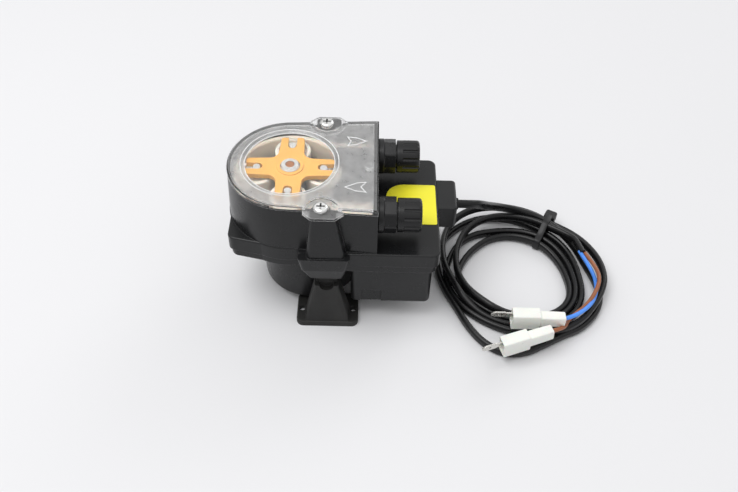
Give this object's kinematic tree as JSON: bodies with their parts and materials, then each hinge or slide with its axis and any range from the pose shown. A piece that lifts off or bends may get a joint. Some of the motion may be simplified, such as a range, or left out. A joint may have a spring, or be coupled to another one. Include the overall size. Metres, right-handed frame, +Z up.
{
  "type": "peristaltic dosing pump",
  "caption": "Small peristaltic dosing pump: clear-covered head with star rotor, rollers and hose, geared motor below, hose fittings on one end, two feet and a coiled lead.",
  "frame": {"origin": "middle of the pump's footprint, its lead left out, at the underside of the feet", "axes": "+X along the pump towards the hose fittings and the lead, +Y towards the inlet, +Z up from the feet to the clear cover"},
  "size_m": [0.1946, 0.1141, 0.0775],
  "materials": {
    "case_black": "satin moulded",
    "foot_black": "matte moulded",
    "seal_black": "soft matte",
    "cover_clear": "clear moulded, frosted outside the window",
    "zinc_steel": "zinc plated",
    "star_yellow": "satin moulded",
    "base_grey": "matte moulded",
    "roller_ivory": "smooth turned",
    "hose_beige": "smooth extruded",
    "fitting_black": "satin moulded",
    "gear_white": "smooth moulded",
    "bush_bronze": "turned",
    "magnet_dark": "ground",
    "winding_copper": "enamelled windings",
    "board_green": "lacquered",
    "board_parts_dark": "moulded",
    "label_yellow": "printed film",
    "lead_black": "satin sheath",
    "tie_black": "smooth moulded",
    "wire_blue": "satin insulation",
    "wire_brown": "satin insulation",
    "connector_ivory": "translucent moulded",
    "blade_tin": "tin plated"
  },
  "bodies": {
    "case": {"front_case": "case_black", "rear_case": "case_black", "case_gasket": "seal_black", "case_screws": "zinc_steel", "clear_cover": "cover_clear", "cover_screws": "zinc_steel", "shaft_bush": "bush_bronze", "pump_hose": "hose_beige", "outlet_fitting": "fitting_black", "inlet_fitting": "fitting_black", "gear_pin": "zinc_steel", "gear_plate": "zinc_steel", "gear_plate_screws": "zinc_steel", "motor_can": "zinc_steel", "motor_lid": "zinc_steel", "motor_bushes": "bush_bronze", "pole_ring": "zinc_steel", "motor_coil": "winding_copper", "near_foot": "foot_black", "far_foot": "foot_black", "foot_screws": "zinc_steel", "drive_board": "board_green", "board_parts": "board_parts_dark", "front_label": "label_yellow", "lead_grommet": "seal_black", "lead_tube": "lead_black", "lead_coil": "lead_black", "cable_tie": "tie_black", "blue_wire": "wire_blue", "brown_wire": "wire_brown", "blue_connector": "connector_ivory", "brown_connector": "connector_ivory", "blue_blade": "blade_tin", "brown_blade": "blade_tin"},
    "rotor": {"rotor_star": "star_yellow", "rotor_base": "base_grey", "roller_pins": "zinc_steel", "shaft_ring": "zinc_steel", "output_shaft": "zinc_steel", "output_gear": "gear_white"},
    "roller_1_body": {"roller_1": "roller_ivory"},
    "roller_2_body": {"roller_2": "roller_ivory"},
    "roller_3_body": {"roller_3": "roller_ivory"},
    "roller_4_body": {"roller_4": "roller_ivory"},
    "reduction": {"reduction_gear": "gear_white"},
    "motor_rotor": {"magnet_rotor": "magnet_dark", "motor_pinion": "bush_bronze"},
    "outlet_ring_body": {"outlet_clamp_ring": "gear_white"},
    "outlet_nut_body": {"outlet_nut": "fitting_black"},
    "inlet_ring_body": {"inlet_clamp_ring": "gear_white"},
    "inlet_nut_body": {"inlet_nut": "fitting_black"}
  },
  "joints": [
    {"name": "rotor_spin", "type": "hinge", "parent": "case", "child": "rotor", "pos_m": [-0.0257, 0, 0.0635], "axis": [0, 0, 1], "continuous": true},
    {"name": "roller_1_spin", "type": "hinge", "parent": "rotor", "child": "roller_1_body", "pos_m": [-0.0096, 0, 0.0635], "axis": [0, 0, 1], "continuous": true},
    {"name": "roller_2_spin", "type": "hinge", "parent": "rotor", "child": "roller_2_body", "pos_m": [-0.0257, 0.0161, 0.0635], "axis": [0, 0, 1], "continuous": true},
    {"name": "roller_3_spin", "type": "hinge", "parent": "rotor", "child": "roller_3_body", "pos_m": [-0.0418, 0, 0.0635], "axis": [0, 0, 1], "continuous": true},
    {"name": "roller_4_spin", "type": "hinge", "parent": "rotor", "child": "roller_4_body", "pos_m": [-0.0257, -0.0161, 0.0635], "axis": [0, 0, 1], "continuous": true},
    {"name": "reduction_spin", "type": "hinge", "parent": "case", "child": "reduction", "pos_m": [-0.0212, 0.01494, 0.044], "axis": [0, 0, 1], "continuous": true},
    {"name": "motor_spin", "type": "hinge", "parent": "case", "child": "motor_rotor", "pos_m": [-0.0167, 0, 0.02], "axis": [0, 0, 1], "continuous": true},
    {"name": "outlet_nut_travel", "type": "slide", "parent": "case", "child": "outlet_ring_body", "axis": [1, 0, 0], "range_m": [0, 0.00301]},
    {"name": "outlet_nut_turn", "type": "hinge", "parent": "outlet_ring_body", "child": "outlet_nut_body", "pos_m": [0.032, -0.0208, 0.0635], "axis": [1, 0, 0], "range_deg": [0, 720]},
    {"name": "inlet_nut_travel", "type": "slide", "parent": "case", "child": "inlet_ring_body", "axis": [1, 0, 0], "range_m": [0, 0.00301]},
    {"name": "inlet_nut_turn", "type": "hinge", "parent": "inlet_ring_body", "child": "inlet_nut_body", "pos_m": [0.032, 0.0208, 0.0635], "axis": [1, 0, 0], "range_deg": [0, 720]}
  ],
  "couplings": [
    {"joint": "roller_1_spin", "follows": "rotor_spin", "ratio": -2.809},
    {"joint": "roller_2_spin", "follows": "rotor_spin", "ratio": -2.809},
    {"joint": "roller_3_spin", "follows": "rotor_spin", "ratio": -2.809},
    {"joint": "roller_4_spin", "follows": "rotor_spin", "ratio": -2.809},
    {"joint": "reduction_spin", "follows": "rotor_spin", "ratio": -3},
    {"joint": "motor_spin", "follows": "rotor_spin", "ratio": 9},
    {"joint": "outlet_nut_travel", "follows": "outlet_nut_turn", "m_per_rad": 0.00023873},
    {"joint": "inlet_nut_travel", "follows": "inlet_nut_turn", "m_per_rad": 0.00023873}
  ]
}
